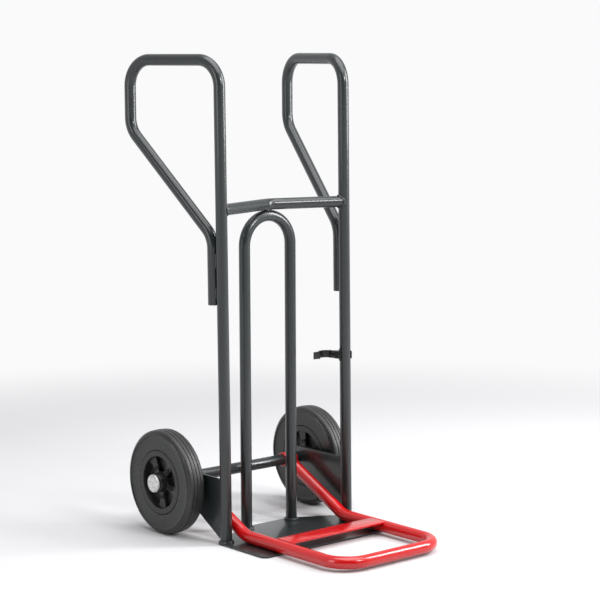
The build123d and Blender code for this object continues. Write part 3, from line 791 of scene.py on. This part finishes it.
for side, hand in ((1, "left"), (-1, "right")):
    moulding = rim(180 + SPOKE_TURN[side])
    piece(f"{hand}_rim_moulding", on_side(at_axle(moulding, WHEEL_X), side), rim_plastic, f"{hand}_wheel",
          "rim_plastic", f"{hand}_rim")

# %% [markdown]
# ## Washers and hub caps
# Each wheel runs between two washers, and a pressed cap is driven onto the end of the rod. The
# cap is a thin domed disc with a rolled rim and a shallow ring where the press tool bore down.

# %% Washers and caps
rod_low, rod_high = cad_box("axle_rod")
RUN_R = (rod_high.z - rod_low.z) / 2


def washer(node):
    low, high = cad_box(node)
    outer = (high.z - low.z) / 2
    bm = turned([(low.x, RUN_R), (low.x, outer), (high.x, outer), (high.x, RUN_R)], 72)
    return placed(round_edges(bm, 0.35, 2, 60), Matrix.Translation((0, AXLE_Y, AXLE_Z)))


def hub_cap(node):
    low, high = cad_box(node)
    outer = (high.z - low.z) / 2
    inner, face = low.x, high.x
    bm = turned([
        (face - 0.7, 0.0), (face - 0.55, 4.5), (face - 0.1, 6.0), (face, 9.0), (face - 0.15, 14.5),
        (face - 0.6, outer - 3.2), (face - 1.5, outer - 1.0), (face - 3.4, outer), (inner, outer),
        (inner, outer - 1.2), (inner + 3.0, outer - 2.0), (inner + 3.2, RUN_R + 1.6), (inner, RUN_R + 1.6),
        (inner, RUN_R), (face - 2.2, RUN_R), (face - 2.2, 0.0),
    ], 72, closed=False)
    return placed(bm, Matrix.Translation((0, AXLE_Y, AXLE_Z)))


for side, hand in ((1, "left"), (-1, "right")):
    for place in ("inner", "outer"):
        ring = on_side(washer(f"left_{place}_washer"), side)
        piece(f"{hand}_{place}_thrust_washer", ring, washer_zinc, "truck_frame", "bright_steel",
              f"{hand}_{place}_washer")
    piece(f"{hand}_pressed_cap", on_side(hub_cap("left_hub_cap"), side), cap_zinc, "truck_frame",
          "bright_steel", f"{hand}_hub_cap")

# %% [markdown]
# ## Folding toe frame
# One tube makes three sides of the toe frame, from the axle down to the floor, round the front
# and back. A flat bar joins its sides, and a short sleeve at each end turns on the axle tube.

# %% Toe frame
low, high = cad_box("toe_frame_tube")
TOE_R = 14.5
TOE_X = high.x - TOE_R
TOE_Z = low.z + TOE_R
TOE_FRONT = low.y + TOE_R
TOE_CORNER = 65.0
TOE_KNEE_Y = -30.0
TOE_KNEE_BEND = 75.0
SLEEVE_SHORT = 13.0  # the sleeve ends this far inside the outer end of the frame's own sleeve


def toe_frame_points():
    knee = Vector((TOE_X, TOE_KNEE_Y, TOE_Z))
    pivot = Vector((TOE_X, AXLE_Y, AXLE_Z))
    start = pivot + (knee - pivot).normalized() * (R + 1.0)
    half = [start, knee, Vector((TOE_X, TOE_FRONT, TOE_Z))]
    return half + [Vector((-p.x, p.y, p.z)) for p in reversed(half)]


toe_bends = [TOE_KNEE_BEND, TOE_CORNER, TOE_CORNER, TOE_KNEE_BEND]
toe_tube = bent_tube(toe_frame_points(), toe_bends, TOE_R, TUBE_SIDES)
piece("toe_frame_bent_tube", toe_tube, toe_paint, "toe_frame", "toe_paint", "toe_frame_tube")

low, high = cad_box("toe_frame_crossbar")
BAR_END = TOE_X - TOE_R * 0.45
outline = [(-BAR_END, low.y, low.z), (BAR_END, low.y, low.z),
           (BAR_END, high.y, low.z), (-BAR_END, high.y, low.z)]
flat_bar = round_edges(slab(outline, (0, 0, high.z - low.z)), 0.8, 3, 60)
piece("toe_frame_flat_bar", flat_bar, toe_paint, "toe_frame", "toe_paint", "toe_frame_crossbar")

for side, hand in ((1, "left"), (-1, "right")):
    low, high = cad_box("left_pivot_sleeve")
    outer = (high.z - low.z) / 2
    bore = R + 0.1
    far_end = high.x - SLEEVE_SHORT
    sleeve = turned([(low.x, bore), (low.x, outer), (far_end, outer), (far_end, bore)], 72)
    sleeve = at_axle(round_edges(sleeve, 0.8, 3, 60))
    piece(f"{hand}_hinge_sleeve", on_side(sleeve, side), toe_paint, "toe_frame", "toe_paint",
          f"{hand}_pivot_sleeve")
SLEEVE_R = outer

# %% Beads of the toe frame
low, high = cad_box("toe_frame_crossbar")
pivot = Vector((TOE_X, AXLE_Y, AXLE_Z))
arm_way = (Vector((TOE_X, TOE_KNEE_Y, TOE_Z)) - pivot).normalized()
beads = []
for side in (1, -1):
    saddle = saddle_seam(pivot, arm_way, TOE_R, SLEEVE_R, Vector((1, 0, 0)))
    under_x = TOE_X - sqrt(TOE_R ** 2 - (low.z - TOE_Z) ** 2) - 0.8
    under = straight_seam((under_x, low.y + 4, low.z - 0.6), (under_x, high.y - 4, low.z - 0.6))
    top_x = BAR_END - 3.4
    over = straight_seam((top_x, low.y + 5, high.z - 1.9), (top_x, high.y - 5, high.z - 1.9))
    beads.append(on_side(bead(saddle, 2 * pi * TOE_R, 2.4, True), side))
    beads.append(on_side(bead(under, high.y - low.y, 2.2), side))
    beads.append(on_side(bead(over, high.y - low.y, 1.7), side))
piece("toe_frame_weld_beads", joined(*beads), toe_paint, "toe_frame", "toe_paint", "toe_frame_welds")

# %% [markdown]
# ## Spring clip
# The clip is moulded plastic. A strap reaches round the back of the upright, a saddle fills
# out into a cone, and an open cradle takes the side of the folded toe frame. The curved walls
# are a small rectangle spun about an upright axis, and a lip is the same wall run on straight.

# %% Spring clip
low, high = cad_box("clip_jaw")
CLIP_H = 18.0
CLIP_T = 3.0
CRADLE_R = TOE_R + 0.7
CLIP_Z = (low.z + high.z) / 2
SADDLE_H = high.z - low.z
JAW = Vector((TOE_X, high.y - CRADLE_R - CLIP_T, CLIP_Z))
POST = Vector((UPRIGHT_X, lean_y(CLIP_Z), CLIP_Z))
LEFT_END, RIGHT_END = radians(151), radians(-9)
LIP = 18.5
STRAP_END = radians(-50)  # the strap is open here, where the frame's own band goes on round
RIB_TURN = radians(5)


def wall_rectangle(bm, inner, thickness, height, start):
    """Upright rectangle beside the Z axis, turned to a starting angle."""
    outer, top = inner + thickness, height / 2
    section = ((inner, -top), (outer, -top), (outer, top), (inner, top))
    corners = [bm.verts.new((x, 0, z)) for x, z in section]
    bmesh.ops.rotate(bm, cent=(0, 0, 0), matrix=Matrix.Rotation(start, 3, "Z"), verts=corners)
    return bm.faces.new(corners)


def curved_wall(inner, thickness, height, start, end, lip=0.0, lip_turn=0.0):
    """Wall spun about Z from start to end, and run on straight for a lip."""
    bm = bmesh.new()
    face = wall_rectangle(bm, inner, thickness, height, start)
    spun = bmesh.ops.spin(bm, geom=[face, *face.verts, *face.edges], cent=(0, 0, 0), axis=(0, 0, 1),
                          dvec=(0, 0, 0), angle=end - start, steps=ceil(abs(end - start) / radians(6)),
                          use_merge=False)
    if lip:
        tip = [g for g in spun["geom_last"] if isinstance(g, bmesh.types.BMFace)]
        grown = bmesh.ops.extrude_face_region(bm, geom=tip)["geom"]
        corners = [g for g in grown if isinstance(g, bmesh.types.BMVert)]
        lip_way = Matrix.Rotation(end + lip_turn, 3, "Z") @ Vector((0, lip, 0))
        bmesh.ops.translate(bm, verts=corners, vec=lip_way)
    bmesh.ops.recalc_face_normals(bm, faces=bm.faces)
    return bm


cradle = curved_wall(CRADLE_R, CLIP_T, CLIP_H, RIGHT_END, LEFT_END, LIP, radians(-60))
cradle = placed(round_edges(cradle, 0.8, 3, 50), Matrix.Translation(JAW))
to_jaw = (JAW - POST).xy.normalized()
post_angle = Vector((1, 0)).angle_signed(to_jaw) * -1
saddle = curved_wall(R, CLIP_T, CLIP_H, post_angle - radians(42), post_angle + radians(42))
cone = curved_wall(R, CLIP_T - 1.2, SADDLE_H, post_angle - radians(38), post_angle + radians(38))
collar = curved_wall(R, CLIP_T + 2.0, CLIP_H, post_angle - radians(36), post_angle + radians(36))
parts = [placed(round_edges(p, 0.7, 3, 50), Matrix.Translation(POST)) for p in (saddle, cone, collar)]
for start in (LEFT_END - 2 * RIB_TURN, RIGHT_END + 4 * RIB_TURN):
    rib = curved_wall(CRADLE_R, CLIP_T + 1.0, CLIP_H + 2.4, start, start + RIB_TURN)
    parts.append(placed(round_edges(rib, 0.4, 2, 50), Matrix.Translation(JAW)))


def web_outline(z):
    """Web between the cradle and the saddle, outside the path of the clipped tube."""
    edge = TOE_R + 1.1
    ring = CRADLE_R + CLIP_T
    saddle_r = R + CLIP_T
    ends = [POST - JAW + saddle_r * Vector((cos(post_angle + a), sin(post_angle + a), 0))
            for a in (radians(-34), 0, radians(34))]
    points = [Vector((edge, 0, 0)), Vector((ring, 2.0, 0)), Vector((ring + 11.0, -6.5, 0)), *ends,
              Vector((edge + 0.6, -18.0, 0))]
    return [JAW + Vector((p.x, p.y, z)) for p in points]


WEB_H = CLIP_H - 7.0
FLANGE_T = 2.4
web = round_edges(slab(web_outline(-WEB_H / 2), (0, 0, WEB_H)), 0.5, 2, 60)
flange = [slab(web_outline(z), (0, 0, FLANGE_T)) for z in (-CLIP_H / 2, CLIP_H / 2 - FLANGE_T)]
flange = [round_edges(f, 0.5, 2, 60) for f in flange]
piece("clip_cradle", joined(cradle, web, *flange, *parts), clip_plastic, "truck_frame", "clip_plastic",
      "clip_jaw")

strap = curved_wall(R, CLIP_T, CLIP_H, post_angle - radians(42), STRAP_END)
strap = placed(round_edges(strap, 0.8, 3, 50), Matrix.Translation(POST))
piece("clip_strap", strap, clip_plastic, "truck_frame", "clip_plastic", "clip_band")

# %% [markdown]
# ## Parts that stay as the frame made them
# The rod, the rollers and their cages are inside the tube and the hubs. Their own shapes are
# right, so they only take a finish.

# %% Finishes for hidden parts
hidden = {
    "axle_rod": (shaft_steel, "bright_steel"),
    "left_bearing_rollers": (shaft_steel, "bright_steel"),
    "right_bearing_rollers": (shaft_steel, "bright_steel"),
    "left_bearing_cage": (cage_plastic, "cage_plastic"),
    "right_bearing_cage": (cage_plastic, "cage_plastic"),
}
for name, (material, slot_name) in hidden.items():
    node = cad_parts[name]
    node.data.materials.clear()
    node.data.materials.append(material)
print("finished", len(hidden), "hidden parts")

# %% [markdown]
# ## Studio
# The floor is pale and matt near the truck, and fades into the backdrop's own brightness, so
# no horizon shows. A tall softbox on the right draws the bright line down each tube, a wide
# one on the left fills, and the side of the room behind the camera is darker, which gives the
# tubes their dark middle.

# %% Camera
VIEW_TURN = radians(40.262)
VIEW_PITCH = radians(7.636)
VIEW_ROLL = radians(-0.238)
CAMERA_DISTANCE = 4.4139
CAMERA_SIDE = 0.0309
CAMERA_HEIGHT = 1.1499
LENS = 113.4

toward_camera = Vector((-sin(VIEW_TURN), -cos(VIEW_TURN), 0))
camera_right = Vector((cos(VIEW_TURN), -sin(VIEW_TURN), 0))
forward = -toward_camera * cos(VIEW_PITCH) - Vector((0, 0, 1)) * sin(VIEW_PITCH)
upward = camera_right.cross(forward)
turned_right = camera_right * cos(VIEW_ROLL) + upward * sin(VIEW_ROLL)
turned_up = upward * cos(VIEW_ROLL) - camera_right * sin(VIEW_ROLL)
place = toward_camera * CAMERA_DISTANCE + camera_right * CAMERA_SIDE + Vector((0, 0, CAMERA_HEIGHT))
turn = Matrix((turned_right, turned_up, -forward)).transposed().to_4x4()

camera = bpy.data.objects.new("camera", bpy.data.cameras.new("camera"))
camera.data.lens = LENS
camera.data.sensor_width = 36.0
camera.data.clip_end = 200.0
camera.matrix_world = Matrix.Translation(place) @ turn
scene.collection.objects.link(camera)
scene.camera = camera
scene.view_settings.view_transform = "Standard"
print("camera stands", round(place.length, 2), "m from the origin")

# %% Floor
BACKDROP = (0.955, 0.955, 0.965, 1.0)
FLOOR_FADE = (1.4, 2.6)

floor_mesh = bmesh.new()
bmesh.ops.create_circle(floor_mesh, cap_ends=True, radius=60.0, segments=64)
mesh = bpy.data.meshes.new("floor")
floor_mesh.to_mesh(mesh)
floor_mesh.free()
floor = bpy.data.objects.new("floor", mesh)
scene.collection.objects.link(floor)

m = Recipe("pale floor")
distance = m.node("ShaderNodeVectorMath", {"operation": "LENGTH"}, {0: m.place}, output="Value")
share = m.node("ShaderNodeMapRange", {"interpolation_type": "SMOOTHSTEP"},
               {"Value": distance, "From Min": FLOOR_FADE[0], "From Max": FLOOR_FADE[1]})
matt = m.node("ShaderNodeBsdfDiffuse", {}, {"Color": (0.60, 0.60, 0.61, 1.0)})
glow = m.node("ShaderNodeEmission", {}, {"Color": BACKDROP, "Strength": 1.0})
surface = m.node("ShaderNodeMixShader", {}, {0: share, 1: matt, 2: glow})
m.node("ShaderNodeOutputMaterial", {}, {"Surface": surface})
mesh.materials.append(m.material)
print("floor fades into the backdrop from", FLOOR_FADE[0], "to", FLOOR_FADE[1], "m")

# %% Lights
def softbox(name, position, aim, width, height, power):
    light = bpy.data.lights.new(name, "AREA")
    light.shape = "RECTANGLE"
    light.size, light.size_y, light.energy = width, height, power
    obj = bpy.data.objects.new(name, light)
    facing = (aim - position).to_track_quat("-Z", "Y").to_matrix().to_4x4()
    obj.matrix_world = Matrix.Translation(position) @ facing
    scene.collection.objects.link(obj)
    print(f"{name}: {width} x {height} m, {power} W")


middle = Vector((0, 0, 0.55))
up = Vector((0, 0, 1))
right_place = camera_right * 2.2 - toward_camera * 0.1 + up * 1.6
left_place = -camera_right * 2.4 + toward_camera * 2.2 + up * 1.5
top_place = up * 3.2 + toward_camera * 0.4 + camera_right * 0.4
softbox("right softbox", right_place, middle + up * 0.4, 0.45, 1.7, 58)
softbox("left softbox", left_place, middle, 1.2, 2.0, 22)
softbox("front softbox", Vector((0.30, -2.75, 2.2)), middle + up * 0.2, 0.7, 0.45, 44)
softbox("top softbox", top_place, middle, 2.8, 2.8, 88)

world = bpy.data.worlds.new("studio")
world.use_nodes = True
scene.world = world
sky = Recipe("studio", world.node_tree, "Generated")
facing = sky.node("ShaderNodeVectorMath", {"operation": "DOT_PRODUCT"},
                  {0: sky.place, 1: toward_camera}, output="Value")
room = sky.node("ShaderNodeMapRange", {"interpolation_type": "SMOOTHSTEP"},
                {"Value": facing, "From Min": 0.0, "From Max": 0.9, "To Min": 0.75, "To Max": 0.10})
seen = sky.node("ShaderNodeLightPath", output="Is Camera Ray")
strength = room * (1 - seen) + seen
back = sky.node("ShaderNodeBackground", {}, {"Color": BACKDROP, "Strength": strength})
sky.node("ShaderNodeOutputWorld", {}, {"Surface": back})
